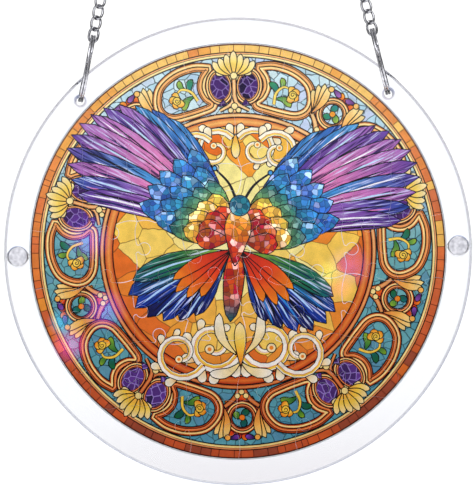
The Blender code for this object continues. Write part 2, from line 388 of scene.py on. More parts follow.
def inside(outline, points, order):
    """Whether each point is inside the outline, by its winding number; order sorts the points upwards."""
    heights = points.imag[order]
    after = np.roll(outline, -1)
    low = np.searchsorted(heights, np.minimum(outline.imag, after.imag))
    counts = np.searchsorted(heights, np.maximum(outline.imag, after.imag)) - low
    edge = np.repeat(np.arange(len(outline)), counts)
    nth = np.arange(len(edge)) - np.repeat(np.cumsum(counts) - counts, counts)
    point = order[nth + np.repeat(low, counts)]
    start = outline[edge]
    step = (after - outline)[edge]
    turn = (np.conj(step) * (points[point] - start)).imag
    rising = (step.imag > 0) & (turn > 0)
    falling = (step.imag < 0) & (turn < 0)
    turns = np.bincount(point, rising.astype(float) - falling, len(points))
    return turns != 0


# ---- The picture: shapes laid over each other, the later ones on top ----

# Dark lines, in millimetres: at each side of a blade, and at both sides of a moulding together
BLADE_LINE = 0.34
MOULDING_LINES = 0.8


class Shape:
    """An outline, the colour at any place in it, its crackle, and lines for its shading to follow.

    A feather also has a quill, its base and its tip, that its barbs run along.
    """

    def __init__(self, outline, colour, pattern, guide=None, quill=None):
        self.outline = outline
        self.colour = colour
        self.pattern = pattern
        self.guide = guide
        self.quill = quill

    def colours_at(self, places):
        if callable(self.colour):
            return self.colour(places)
        return np.tile(rgb(self.colour), (len(places), 1))

    def barbs_at(self, places, number):
        """Along and across the quill in millimetres, the feather's own number, and 1."""
        if self.quill is None:
            return np.zeros((len(places), 4))
        base, tip = self.quill
        local = (places - base) * abs(tip - base) / (tip - base)
        ones = np.ones(len(places))
        return np.stack([local.real, local.imag, ones * number, ones], 1)


def graded(value, stops):
    """Linear colours for values from 0 to 1 along evenly spread colours."""
    stops = np.array([rgb(stop) for stop in stops])
    at = np.linspace(0, 1, len(stops))
    return np.stack([np.interp(value, at, stops[:, channel]) for channel in range(3)], 1)


def along(base, tip, stops):
    """Colours that change from base to tip."""

    def colour(places):
        return graded(((places - base) * np.conj(tip - base)).real / abs(tip - base) ** 2, stops)

    return colour


def from_top(stops):
    """Colours that change from the top of the picture to its bottom."""

    def colour(places):
        return graded((PUZZLE_RADIUS - places.imag) / (2 * PUZZLE_RADIUS), stops)

    return colour


def ridge(path, half_width, edge, crest):
    """The colours of a rounded moulding, from its two edges to its crest: gilt above, and coppery below as
    painted shade.
    """
    # Painted shade: a coppery tint that deepens towards the print's foot.
    painted_shade_towards_foot = from_top((WHITE, PAINTED_COPPER_SHADE))

    def colour(places):
        return graded(distance_from(path, places) / half_width, (crest, edge)) * painted_shade_towards_foot(places)

    return colour


class Picture:
    """The shapes of the print, from the lowest to the topmost."""

    def __init__(self):
        self.shapes = []
        self.chance = random.Random(SEED)

    def fill(self, outline, colour, pattern=PLAIN, guide=None, quill=None):
        self.shapes.append(Shape(np.asarray(outline, complex), colour, pattern, guide, quill))

    def line(self, path, width, colour, closed=False):
        self.fill(stroke(path, width, closed), colour)

    def bead(self, middle, outer, inner, colour, count=16):
        """A dot with a dark line round it."""
        self.fill(circle(middle, outer, count), LINE_BROWN)
        self.fill(circle(middle, inner, count), colour)

    def moulding(self, path, width, closed=False, edge=GOLD_DEEP, crest=GOLD_PALE):
        """A gilt moulding: dark lines outside, a rounded band between."""
        self.line(path, width + MOULDING_LINES, LINE_BROWN, closed)
        whole = np.append(path, path[0]) if closed else path
        widest = np.max(width)
        self.fill(stroke(path, width, closed), ridge(whole, widest / 2, edge, crest), guide=whole)

    def double_moulding(self, path, width, closed):
        """Two rounded bands side by side with a dark line between."""
        self.moulding(path, width, closed, edge=GOLD_DEEP, crest=GOLD)
        self.line(path + shifted(path, -width * 0.27, closed), width * 0.2, GOLD_PALE, closed)
        self.line(path + shifted(path, -width * 0.06, closed), 0.36, LINE_BROWN, closed)
        self.line(path + shifted(path, width * 0.2, closed), width * 0.12, PEACH, closed)
        self.line(path + shifted(path, width * 0.36, closed), 0.22, LINE_BROWN, closed)

    def blade(self, base, tip, width, colours, line=LINE_BROWN, pattern=PLAIN, quill=None, **form):
        self.fill(blade(base, tip, width, grow=BLADE_LINE, **form), line)
        self.fill(blade(base, tip, width, **form), along(base, tip, colours), pattern, quill=quill)

    def feather(self, base, tip, width, colours, streaks, bend):
        """A long blade with barbs and a few broad streaks that run along it."""
        self.blade(base, tip, width, colours, LINE_NAVY, quill=(base, tip), bend=bend)
        across = 1j * (tip - base) / abs(tip - base) * width
        for number, streak in enumerate(streaks):
            place = ((number + 0.5) / len(streaks) - 0.5) * 0.86
            begin = base + (tip - base) * self.chance.uniform(0.12, 0.36) + across * place * 0.7
            finish = base + (tip - base) * self.chance.uniform(0.84, 0.97) + across * place * 0.8
            share = self.chance.uniform(0.06, 0.11)
            self.fill(blade(begin, finish, width * share, bend=bend * 0.8, steps=7), streak)


def shifted(path, distance, closed=False):
    """The steps that move each point of a path to its left."""
    tangent = np.roll(path, -1) - np.roll(path, 1) if closed else np.gradient(path)
    return 1j * tangent / abs(tangent) * distance


# ---- Parts of the picture ----

GLASS = from_top((SKY, SKY, TEAL, TEAL, TEAL))
ROUND_SIDES = 140
INNER_ROUND_SIDES = 110
# The rim's band of tiles: its two radii, its number of tiles, the joints between them in degrees, the chance
# that a tile has another colour than the last, and how far its place in TILES may stray
RIM_BAND = (64.1, 66.2)
RIM_TILES = 112
RIM_JOINT = 0.2
TILE_CHANGE = 0.6
TILE_SPREAD = 1.7
# The two thin bands inside the tiles: radius, width, colour
RIM_LINES = ((63.55, 0.4, PEACH), (62.9, 0.6, GOLD_PALE))
# Radii of the field of windows and of the golden middle, the place of its glow, and the number of units
OUTER_FIELD = 62.2
MIDDLE_FIELD = 40.4
GLOW_MIDDLE = (0, 4, 0)
UNITS = 5


def draw_rim(picture):
    """Dark edge, a band of tiles from gold above to brown below, then two thin bands between dark lines."""
    picture.fill(circle(0, PUZZLE_RADIUS + 2, ROUND_SIDES), EDGE_BROWN)
    low, high = RIM_BAND
    picture.fill(circle(0, high, ROUND_SIDES), RIM_BROWN)
    step = 360 / RIM_TILES
    joints = [(number + picture.chance.uniform(-0.3, 0.3)) * step for number in range(RIM_TILES)]
    colour = TILES[0]
    for start, end in zip(joints, joints[1:] + [joints[0] + 360]):
        if picture.chance.random() < TILE_CHANGE:
            depth = (1 - math.sin(math.radians(start))) / 2 * (len(TILES) - 1)
            pick = depth + picture.chance.uniform(-TILE_SPREAD, TILE_SPREAD)
            colour = TILES[min(max(round(pick), 0), len(TILES) - 1)]
        ends = start + RIM_JOINT / 2, end - RIM_JOINT / 2
        tile = np.concatenate([arc(0, low, *ends, 4), arc(0, high, *ends[::-1], 4)])
        picture.fill(tile, colour)
    picture.fill(circle(0, low, ROUND_SIDES), LINE_BROWN)
    for radius, width, colour in RIM_LINES:
        picture.line(circle(0, radius, ROUND_SIDES), width, colour, closed=True)
    picture.fill(circle(0, OUTER_FIELD, ROUND_SIDES), GLASS, PANELS)


def around(angle, flip):
    """Gives a function that places a point by its degrees from a spoke and its radius."""

    def place(degrees, radius):
        return turned(1j * radius, angle - degrees * flip)

    return place


def draw_bud(picture, at, size, turn, flip):
    """A curled bud on a stem with leaves."""

    def place(x, y):
        return at + turned(complex(x * flip, y) * size, turn)

    picture.blade(place(-2.4, -1.4), place(1.9, -3.3), 1.9 * size, (GREEN, LIME), bend=0.2 * flip)
    picture.blade(place(-2.3, -0.2), place(-4.6, 3.0), 1.7 * size, (SEA, GREEN), bend=-0.2 * flip)
    picture.blade(place(-1.4, 1.6), place(-1.2, 4.6), 1.4 * size, (GREEN, LIME), bend=-0.2 * flip)
    stem = curve_through([place(-2.9, -3.0), place(-2.5, 0.2), place(-0.4, 2.2), place(2.0, 1.4)])
    picture.line(stem, np.linspace(1.2, 0.8, len(stem)), LINE_BROWN)
    picture.line(stem, np.linspace(0.85, 0.45, len(stem)), YELLOW)
    for angle, length in ((-62, 2.4), (-18, 3.0), (28, 3.0), (72, 2.4)):
        base = place(1.3, 0.2)
        tip = base + turned(complex(length * flip, 0) * size, turn - angle * flip)
        picture.blade(base, tip, 2.1 * size, (GOLD, YELLOW, AMBER), widest=0.62)
    eye = place(2.3, 0.1)
    picture.bead(eye, 1.25 * size, 1.0 * size, YELLOW, 18)
    picture.line(spiral(eye + turned(0.75 * size, turn), eye, 1.1 * flip), 0.25, LINE_BROWN)


# A window's corners: degrees from its unit's spoke, and radius
WINDOW = (
    *((7.8, 59.6), (12.5, 60.6), (18.5, 60.2), (24.2, 58.0), (27.4, 53.8)),
    *((27.6, 50.0), (24.6, 47.2), (19.2, 46.3), (13.4, 46.3), (9.0, 46.9)),
    *((8.2, 48.4), (10.3, 50.3), (11.2, 53.4), (10.2, 56.4)),
)


def draw_window(picture, angle, flip):
    """A bean-shaped window that bends round a roundel, with a bud in it."""
    place = around(angle, flip)
    corners = [place(*corner) for corner in WINDOW]
    outline = curve_through(corners + corners[:2], 4)[:-5]
    picture.double_moulding(outline, 2.5, closed=True)
    draw_bud(picture, place(18.0, 52.4), 1.12, angle - 18 * flip + 12, flip)


def draw_roundel(picture, angle, flip):
    """A purple oval in a gilt ring."""
    place = around(angle, flip)
    oval = turned(circle(0, 1, 30).real * 3.0 + 1j * circle(0, 1, 30).imag * 4.1, angle - 4.9 * flip)
    middle = place(4.9, 53.2)
    picture.double_moulding(middle + oval * 1.22, 1.5, closed=True)
    picture.fill(middle + oval, PURPLE, ROUNDELS)
    picture.blade(place(3.6, 56.7), place(5.6, 57.7), 1.2, (CREAM, GOLD_PALE))
    picture.fill(np.array([place(2.2, 46.6), place(7.0, 46.9), place(4.2, 49.2)]), LINE_BROWN)
    picture.fill(np.array([place(2.8, 46.9), place(6.4, 47.1), place(4.2, 48.8)]), PURPLE, ROUNDELS)


def draw_palmette(picture, angle):
    """The gilt stem between two roundels, with a fan at the rim and a knot at its foot."""
    place = around(angle, 1)
    stem = np.array([place(0, 44.0), place(0, 48.0), place(0, 52.0), place(0, 57.0)])
    picture.moulding(curve_through(stem, 4), 1.0)
    for side in (-1, 1):
        arm = curve_through([place(0, 50.0), place(side * 1.2, 47.4), place(side * 6.0, 45.4)])
        picture.moulding(arm, np.linspace(1.2, 0.6, len(arm)))
    for lean in (-5.4, 5.4, -3.7, 3.7, -1.9, 1.9, 0):
        tip = place(lean * 1.15, 64.2 - abs(lean) * 0.55)
        picture.blade(place(lean * 0.18, 56.6), tip, 2.1, (GOLD, YELLOW, CREAM), bend=-0.02 * lean)
    for degrees, radius, size in ((0, 56.4, 1.0), (0, 46.6, 0.9), (-1.6, 45.3, 0.7), (1.6, 45.3, 0.7)):
        picture.bead(place(degrees, radius), size + 0.3, size, GOLD_PALE)


def draw_volute(picture, angle):
    """The feathered curl between two windows, with a gilt fan on each side of it."""
    place = around(angle, 1)
    middle = place(0, 53.4)
    for number in range(11):
        way = number * 24 - 30
        base = middle + turned(4.2j, angle - way)
        tip = middle + turned(7.4j, angle - way - 22)
        picture.blade(base, tip, 2.4, (RED, FLAME, AMBER), bend=-0.15)
    picture.double_moulding(circle(middle, 4.3, 36), 1.7, closed=True)
    draw_leaf_knot(picture, middle, angle)
    for side in (-1, 1):
        stem = curve_through([place(side * 0.4, 44.2), place(side * 3.2, 47.6), place(side * 6.9, 50.6)])
        picture.moulding(stem, np.linspace(1.5, 0.9, len(stem)))
        for lean, reach in ((9.7, 57.0), (8.7, 59.2), (7.1, 60.4), (5.5, 60.2)):
            tip = place(side * lean, reach)
            picture.blade(place(side * 6.6, 50.4), tip, 2.1, (GOLD_DEEP, GOLD, GOLD_PALE), bend=0.1 * side)
        picture.blade(place(side * 3.9, 60.3), place(side * 1.0, 59.4), 1.5, (PURPLE, MAUVE))
        picture.bead(place(side * 4.6, 60.0), 1.1, 0.8, GOLD)
    for degrees, radius in ((0, 45.2), (-1.7, 46.5), (1.7, 46.5)):
        picture.bead(place(degrees, radius), 1.0, 0.75, GOLD_PALE)


def draw_leaf_knot(picture, middle, angle):
    """Three leaves round a bead."""
    for way, colours in ((-130, (SEA, GREEN)), (130, (GREEN, LIME)), (0, (GREEN, SEA))):
        tip = middle + turned(2.9j, angle - way)
        picture.blade(middle, tip, 1.9, colours, bend=0.2)
    picture.bead(middle, 1.1, 0.85, AMBER)


def draw_outer_field(picture):
    """Units of two windows, two roundels and a palmette, volutes between them, and two mouldings inside."""
    step = 360 / UNITS
    for number in range(UNITS):
        draw_volute(picture, (number + 0.5) * step)
        for flip in (-1, 1):
            draw_window(picture, number * step, flip)
            draw_roundel(picture, number * step, flip)
        draw_palmette(picture, number * step)
    picture.moulding(circle(0, 43.7, INNER_ROUND_SIDES), 1.0, closed=True)
    picture.moulding(circle(0, 41.6, INNER_ROUND_SIDES), 2.3, closed=True, edge=COPPER, crest=GOLD)


def draw_middle_field(picture):
    picture.fill(circle(0, MIDDLE_FIELD, INNER_ROUND_SIDES), LINE_BROWN)
    picture.fill(circle(0, MIDDLE_FIELD - 0.35, INNER_ROUND_SIDES), WHITE, MIDDLE)


def draw_scroll(picture, start, middle, turns, width, lobes):
    """A pale acanthus scroll: a curl with leaf lobes along its outer side."""
    path = spiral(start, middle, turns)
    taper = np.linspace(width, width * 0.45, len(path))
    ahead = np.gradient(path)
    ahead /= abs(ahead)
    outward = ahead * (-1j if turns > 0 else 1j)
    for number in range(lobes):
        at = int(len(path) * 0.6 * (number + 0.3) / lobes)
        size = width * (1.0 - 0.4 * number / lobes)
        tip = path[at] + outward[at] * size * 1.5 + ahead[at] * size * 1.9
        picture.blade(path[at], tip, size * 1.25, (AMBER, CREAM, IVORY), widest=0.7)
    picture.line(path, taper + 0.55, LINE_BROWN)
    picture.line(path, taper, IVORY)
    picture.line(path + shifted(path, -width * 0.22), taper * 0.3, YELLOW)
    picture.line(path + shifted(path, -width * 0.05), taper * 0.1, GOLD_DEEP)
    picture.bead(path[-1], width * 0.62, width * 0.5, CREAM)
    picture.fill(circle(path[-1], width * 0.25, 12), AMBER)


def draw_scrolls(picture):
    """Pale scrolls at the foot and the head of the golden middle."""
    for side in (-1, 1):

        def place(x, y):
            return complex(x * side, y)

        draw_scroll(picture, place(1.2, -34.0), place(8.6, -30.0), 1.3 * side, 2.7, 6)
        draw_scroll(picture, place(12.0, -36.6), place(19.5, -32.4), 1.2 * side, 2.2, 5)
        draw_scroll(picture, place(1.0, 36.5), place(6.6, 32.6), -1.2 * side, 1.9, 5)
        draw_scroll(picture, place(8.0, 35.6), place(13.6, 31.4), -1.2 * side, 1.9, 5)
        for x, y, tip_x, tip_y in ((1.5, -33, 6.5, -20), (0.4, -36, 10, -39), (20, 31.5, 27, 27.5)):
            ends = place(x, y), place(tip_x, tip_y)
            picture.blade(*ends, 3.0, (GOLD_PALE, CREAM, IVORY), bend=-0.16 * side)
    picture.blade(-36.5j, -23j, 3.6, (AMBER, YELLOW, CREAM))
    picture.blade(37.5j, 30j, 2.6, (AMBER, YELLOW, CREAM))


# Feathers: degrees up from level, length, colours from base to tip
UPPER_FEATHERS = (
    (58, 44, (NAVY, BLUE, AZURE)),
    (53.8, 49, (NAVY, AZURE, BLUE)),
    (49.6, 53, (NAVY, BLUE, AZURE)),
    (45.4, 56.5, (NAVY, VIOLET, MAUVE)),
    (41.2, 59, (BLUE, MAUVE, VIOLET)),
    (37, 60.5, (VIOLET, PINK, MAUVE)),
    (32.8, 61.5, (VIOLET, PINK, MAUVE)),
    (28.6, 61.5, (BLUE, PINK, VIOLET)),
    (24.4, 60.5, (NAVY, AZURE, VIOLET)),
    (20.2, 58, (VIOLET, PINK, MAUVE)),
    (16, 55, (VIOLET, MAUVE, BLUE)),
    (11.8, 51.5, (NAVY, MAUVE, VIOLET)),
)
LOWER_FEATHERS = (
    (-66, 24, (SEA, BLUE, NAVY)),
    (-58.5, 28, (NAVY, BLUE, NAVY)),
    (-51, 31.5, (NAVY, BLUE, BLUE)),
    (-43.5, 34.5, (NAVY, BLUE, NAVY)),
    (-36, 36, (SEA, BLUE, BLUE)),
    (-28.5, 36, (GREEN, SEA, BLUE)),
    (-22, 33, (LIME, GREEN, SEA)),
)
UPPER_STREAKS = (
    (NAVY, WHITE, LINE_NAVY, ICE),
    (ICE, NAVY, PINK, LINE_NAVY),
    (LINE_NAVY, WHITE, NAVY, WHITE),
)
LOWER_STREAKS = ((LINE_NAVY, ICE, NAVY), (AZURE, LINE_NAVY, ICE))
# Rows of short feathers: length, width, their degrees, colours
COVERTS = (
    (32, 7.4, (61, 50, 39, 28, 17), (NAVY, BLUE, AZURE)),
    (26, 7.2, (60, 48, 36, 24, 12), (BLUE, SEA, AZURE)),
    (20.5, 7.0, (64, 50, 36, 22, 8), (GREEN, LIME, SEA)),
    (16, 7.0, (62, 44, 26, 8), (FLAME, AMBER, YELLOW)),
    (11.5, 6.6, (64, 42, 20, -2), (RED, RED, FLAME)),
)
BUTTERFLY_AT = complex(-0.5, 1.5)
BUTTERFLY_TURN = -6


def draw_butterfly(picture):
    def upright(x, y):
        return BUTTERFLY_AT + turned(complex(x, y), BUTTERFLY_TURN)

    for side in (-1, 1):

        def place(root, angle, length):
            point = root + length * np.exp(1j * math.radians(angle))
            return upright(point.real * side, point.imag)

        bend = 0.05 * side
        root = complex(1.5, -1)
        for (angle, length, colours), streaks in zip(LOWER_FEATHERS, cycle(LOWER_STREAKS)):
            ends = place(root, angle, 2), place(root, angle, length)
            picture.feather(*ends, 6.6, colours, streaks, bend=bend)
        for angle, length in ((-62, 18), (-52, 21), (-42, 22.5), (-32, 21)):
            ends = place(root, angle, 1), place(root, angle, length)
            picture.blade(*ends, 3.6, (RED, FLAME, AMBER), bend=bend, widest=0.5)
        root = complex(1.5, 2)
        for (angle, length, colours), streaks in zip(UPPER_FEATHERS, cycle(UPPER_STREAKS)):
            ends = place(root, angle, 4), place(root, angle, length)
            picture.feather(*ends, 6.4, colours, streaks, bend=bend)
        for length, width, angles, colours in COVERTS:
            for angle in angles:
                ends = place(root, angle, 1), place(root, angle, length)
                picture.blade(*ends, width, colours, LINE_NAVY, SCALES)
        feeler = curve_through([upright(0.8 * side, 14), upright(4 * side, 20), upright(9 * side, 24.5)])
        picture.line(feeler, np.linspace(1.0, 0.6, len(feeler)), LINE_NAVY)
        picture.fill(circle(feeler[-1], 1.0, 14), LINE_NAVY)
        picture.fill(circle(feeler[-1], 0.6, 12), AZURE)

    tail = upright(0, 2), upright(0, -24)
    picture.blade(*tail, 6.4, (AMBER, FLAME, RED, SEA), LINE_NAVY, SCALES, widest=0.4)
    body = upright(0, -6), upright(0, 12.5)
    picture.blade(*body, 8.4, (RED, FLAME, AMBER, YELLOW), LINE_NAVY, SCALES)
    head = upright(0, 13.2)
    picture.fill(circle(head, 3.5, 24), LINE_NAVY)
    picture.fill(circle(head, 3.2, 24), from_top((AZURE, SEA, BLUE)), SCALES)


def draw_picture():
    picture = Picture()
    draw_rim(picture)
    draw_outer_field(picture)
    draw_middle_field(picture)
    draw_scrolls(picture)
    draw_butterfly(picture)
    return picture


# ---- The jigsaw's cuts ----

# Millimetres: the rounding where a knob leaves its cut, and how far a plain stretch bows
FILLET = 0.7
BOW = 0.55
KNOB_POINTS = 17
FILLET_POINTS = 5
BOW_STEPS = 6
ARC_STEP = math.radians(2.5)


def lattice_points():
    """The crossings of the cuts that lie well inside the rim, by column and row."""
    points = {}
    for column in range(COLUMNS - 1):
        for row in range(ROWS - 1):
            x = (column + 1) * 2 * PUZZLE_RADIUS / COLUMNS - PUZZLE_RADIUS
            y = (row + 1) * 2 * PUZZLE_RADIUS / ROWS - PUZZLE_RADIUS
            if math.hypot(x, y) > PUZZLE_RADIUS - CROSSING_TO_RIM:
                continue
            x += WOBBLE * math.sin(WOBBLE_TURNS_ACROSS[0] * column + WOBBLE_TURNS_ACROSS[1] * row)
            y += WOBBLE * math.cos(WOBBLE_TURNS_UP[0] * column + WOBBLE_TURNS_UP[1] * row)
            points[(column, row)] = complex(x, y)
    return points


def rim_point(start, direction):
    """Where a straight cut from start meets the puzzle's rim."""
    along_cut = -(start * direction.conjugate()).real
    return start + direction * (along_cut + math.sqrt(along_cut**2 + PUZZLE_RADIUS**2 - abs(start) ** 2))


def cuts_between(points):
    """Adds the rim's points to points, and gives every cut as two keys, with the rim's keys in order."""
    cuts = []
    rim = []
    for key in list(points):
        to_rim = []
        for step in ((1, 0), (0, 1), (-1, 0), (0, -1)):
            neighbour = (key[0] + step[0], key[1] + step[1])
            if neighbour not in points:
                to_rim.append((key + step, rim_point(points[key], complex(*step))))
            elif step in ((1, 0), (0, 1)):
                cuts.append((key, neighbour))
        to_rim.sort(key=lambda found: abs(found[1] - points[key]))
        for rim_key, place in to_rim[-1:]:
            points[rim_key] = place
            cuts.append((key, rim_key))
            rim.append(rim_key)
    rim.sort(key=lambda found: np.angle(points[found]))
    return cuts, rim


def bowed(start, end, side):
    """A gently bowed stretch of a cut, without its end."""
    share = np.arange(BOW_STEPS) / BOW_STEPS
    out = 1j * (end - start) / abs(end - start) * side
    return start + (end - start) * share + out * BOW * np.sin(np.pi * share)


def knobbed(start, end, side, place):
    """A cut from start up to end, with a round knob at the given share of the way, bulging to one side."""
    way = (end - start) / abs(end - start)
    out = 1j * way * side
    middle = start + (end - start) * place
    head = middle + out * KNOB_REACH
    if abs(head) + KNOB_RADIUS > PUZZLE_RADIUS - KNOB_TO_RIM:
        out = -out
        head = middle + out * KNOB_REACH
    opening = math.asin(KNOB_NECK / KNOB_RADIUS)
    fillet_turn = np.linspace(0, np.pi / 2, FILLET_POINTS)
    run = way * (KNOB_NECK + FILLET - FILLET * np.sin(fillet_turn))
    rise = out * FILLET * (1 - np.cos(fillet_turn))
    turn = np.linspace(opening, 2 * np.pi - opening, KNOB_POINTS)
    round_head = head - (out * np.cos(turn) + way * np.sin(turn)) * KNOB_RADIUS
    near = middle + (rise - run)
    far = middle + (rise + run)
    first = bowed(start, near[0], side)
    last = bowed(far[0], end, -side)[1:]
    return np.concatenate([first, near, round_head, far[::-1], last])


def outlines_of_cuts(points, cuts, rim):
    """The points along every cut and every stretch of rim, for both directions of travel."""
    chance = random.Random(SEED)
    paths = {}
    for first, last in cuts:
        side = chance.choice((-1, 1))
        place = 0.5 + chance.uniform(-KNOB_DRIFT, KNOB_DRIFT)
        if abs(points[last] - points[first]) > SHORTEST_KNOBBED_CUT:
            path = knobbed(points[first], points[last], side, place)
        else:
            path = bowed(points[first], points[last], side)
        paths[(first, last)] = path
        paths[(last, first)] = np.append(points[last], path[:0:-1])
    for first, last in zip(rim, rim[1:] + rim[:1]):
        begin = np.angle(points[first])
        sweep = (np.angle(points[last]) - begin) % (2 * math.pi)
        count = max(1, round(sweep / ARC_STEP))
        path = PUZZLE_RADIUS * np.exp(1j * (begin + sweep * np.arange(count) / count))
        paths[(first, last)] = path
        paths[(last, first)] = np.append(points[last], path[:0:-1])
    return paths


def signed_area(outline):
    return (np.conj(outline) * np.roll(outline, -1)).imag.sum() / 2


def pieces_from(points, paths):
    """Walks round every piece with its inside on the left, and gives each piece's outline."""
    around = {}
    for first, last in paths:
        around.setdefault(first, []).append(last)
    for key, others in around.items():
        others.sort(key=lambda other: np.angle(points[other] - points[key]))
    left = dict.fromkeys(paths)
    outlines = []
    while left:
        step = next(iter(left))
        outline = []
        while step in left:
            del left[step]
            outline.append(paths[step])
            others = around[step[1]]
            step = (step[1], others[others.index(step[0]) - 1])
        outline = np.concatenate(outline)
        if signed_area(outline) > 0:
            outlines.append(outline)
    return outlines


def inward_at(outline):
    """At each corner, the way inwards and how much longer it is there than a step straight in."""
    first = outline - np.roll(outline, 1)
    second = np.roll(outline, -1) - outline
    first /= abs(first)
    second /= abs(second)
    inward = 1j * (first + second)
    inward /= abs(inward)
    return inward / np.maximum(0.5, (1j * first * np.conj(inward)).real)


def puzzle_outlines():
    points = lattice_points()
    cuts, rim = cuts_between(points)
    return pieces_from(points, outlines_of_cuts(points, cuts, rim))


# ---- The printed pieces ----

# A piece's bevel and half the gap of a cut, in millimetres, then its clear core and how pale its edges are
PRINT_BEVEL = 0.07
CUT_INSET = 0.018
CORE = (236, 240, 244)
CUT_PALENESS = 0.08
PIECE_SHARP_ANGLE = math.radians(30)
# The triangles' loose points, in millimetres apart, and how close two points may lie
FILL_SPACING = 3.4
CLOSEST = 1e-5
# Painted light and shade on the print between two heights, in millimetres: exponents on its colours, and the
# foot's painted shade by channel. From PALE_FROM of the way up, it also turns paler with painted light.
FOOT_HEIGHT = -54.0
HEAD_HEIGHT = 42.0
FOOT_STRENGTH = 1.8
HEAD_STRENGTH = 1.1
FOOT_PAINTED_SHADE = np.array((0.7, 0.7, 0.9))
PALE_FROM = 0.4
HEAD_PAINTED_LIGHT = 0.02


def filling_points():
    """Loose points over the whole picture, so that no triangle in it is large."""
    found = []
    rows = int(PUZZLE_RADIUS / FILL_SPACING) + 1
    for row in range(-rows, rows + 1):
        for column in range(-rows, rows + 1):
            place = complex(column + (row % 2) / 2, row * math.sqrt(0.75)) * FILL_SPACING
            if abs(place) < PUZZLE_RADIUS:
                found.append(place)
    return np.array(found)


def triangulated(loops, lines, loose):
    """Triangles whose sides follow every closed loop and every line; gives points and triangles."""
    points = []
    edges = []
    for path, closed in [(loop, True) for loop in loops] + [(line, False) for line in lines]:
        begin = len(points)
        points += [Vector((place.real, place.imag)) for place in path]
        count = len(path)
        edges += [(begin + number, begin + number + 1) for number in range(count - 1)]
        if closed:
            edges.append((begin + count - 1, begin))
    points += [Vector((place.real, place.imag)) for place in loose]
    places, _, faces, _, _, _ = delaunay_2d_cdt(points, edges, [], 0, CLOSEST, False)
    places = np.array([complex(place.x, place.y) for place in places])
    faces = np.array(faces)
    a, b, c = (places[faces[:, corner]] for corner in range(3))
    clockwise = ((b - a) * np.conj(c - a)).imag > 0
    faces[clockwise] = faces[clockwise][:, ::-1]
    return places, faces


def owners_of(outlines, middles):
    """For each middle, the number of the last outline that it is inside, or -1."""
    owner = np.full(len(middles), -1)
    order = np.argsort(middles.imag)
    for number, outline in enumerate(outlines):
        owner[inside(outline, middles, order)] = number
    return owner


def painted_light_and_shade(colours, places):
    """Painted light and shade in the print's colours, as light would fall through it: paler towards its top
    and deeper towards its foot.
    """
    height = np.interp(places.imag, (FOOT_HEIGHT, HEAD_HEIGHT), (0, 1))[:, None]
    pale = np.clip((height - PALE_FROM) / (1 - PALE_FROM), 0, 1) * HEAD_PAINTED_LIGHT
    strength = FOOT_STRENGTH + (HEAD_STRENGTH - FOOT_STRENGTH) * height
    return colours**strength * (FOOT_PAINTED_SHADE + (1 - FOOT_PAINTED_SHADE) * height) * (1 - pale) + pale


def printed_corners(picture, places, faces, owner):
    """Colour, crackle and barbs at each triangle's three corners."""
    colours = np.ones((len(faces), 3, 4))
    patterns = np.zeros((len(faces), 3, 4))
    barbs = np.zeros((len(faces), 3, 4))
    for number, shape in enumerate(picture.shapes):
        mine = np.flatnonzero(owner == number)
        if len(mine) == 0:
            continue
        corners = places[faces[mine]].ravel()
        # Every corner's colour carries the painted light at the print's top and the painted shade at its
        # foot.
        colours[mine, :, :3] = painted_light_and_shade(shape.colours_at(corners), corners).reshape(-1, 3, 3)
        patterns[mine] = shape.pattern
        barbs[mine] = shape.barbs_at(corners, number).reshape(-1, 3, 4)
    return np.clip(colours, 0, 1), patterns, barbs


def loop_of(faces):
    """The outer edge of a patch of triangles, as point numbers in order with the patch on the left."""
    directed = {(a, b) for face in faces.tolist() for a, b in zip(face, face[1:] + face[:1])}
    after = {a: b for a, b in directed if (b, a) not in directed}
    loop = [next(iter(after))]
    while after[loop[-1]] != loop[0]:
        loop.append(after[loop[-1]])
    return np.array(loop)


def printed_piece(name, places, faces, print_layers, middle_y, material):
    """One jigsaw piece: the printed front, a small bevel all round, the core, and the printed back."""
    used, faces = np.unique(faces, return_inverse=True)
    faces = faces.reshape(-1, 3)
    flat = places[used]
    loop = loop_of(faces)
    rim = flat[loop] - inward_at(flat[loop]) * PRINT_BEVEL
    half = SHEET_THICKNESS / 2
    layers = ((flat, -half), (rim, PRINT_BEVEL - half), (rim, half - PRINT_BEVEL), (flat, half))
    vertices = []
    for outline, depth in layers:
        vertices += [(p.real * MM, middle_y + depth * MM, DISC_Z + p.imag * MM) for p in outline]
    count = len(loop)
    steps = np.arange(count)
    back_start = len(flat) + 2 * count
    rings = [loop, len(flat) + steps, len(flat) + count + steps, back_start + loop]
    walls = []
    for upper, lower in zip(rings, rings[1:]):
        walls.append(np.stack([np.roll(upper, -1), upper, lower, np.roll(lower, -1)], 1))
    walls = np.concatenate(walls)
    back = faces[:, ::-1] + back_start
    mesh = bpy.data.meshes.new(name)
    mesh.from_pydata(vertices, [], faces.tolist() + back.tolist() + walls.tolist())
    at_point = np.ones((len(flat), 4))
    at_point[faces.ravel()] = print_layers["print_colour"].reshape(-1, 4)
    ring = at_point[loop] * (1 - CUT_PALENESS) + np.array(rgba(CORE)) * CUT_PALENESS
    after = np.roll(ring, -1, 0)
    bevel = np.stack([after, ring, ring, after], 1).reshape(-1, 4)
    core = np.tile(rgba(CORE), (count * 4, 1))
    side = np.concatenate([bevel, core, bevel])
    # The colours come first: only they go on over a piece's sides, which have no crackle and no barbs.
    for attribute, front in print_layers.items():
        layer = mesh.color_attributes.new(attribute, "FLOAT_COLOR", "CORNER")
        values = np.concatenate([front.reshape(-1, 4), front[:, ::-1].reshape(-1, 4), side])
        layer.data.foreach_set("color", values.astype(np.float32).ravel())
        side = np.zeros_like(side)
    mesh.shade_smooth()
    mesh.set_sharp_from_angle(angle=PIECE_SHARP_ANGLE)
    mesh.materials.append(material)
    return placed(name, mesh)


def cad_pieces():
    """Each CAD jigsaw piece's name and the middle of its box on the disc."""
    found = {}
    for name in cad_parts:
        if name.startswith("puzzle_piece_"):
            low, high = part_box(name)
            found[name] = complex(low.x + high.x, low.z + high.z - 2 * DISC_Z) / 2 / MM
    return found


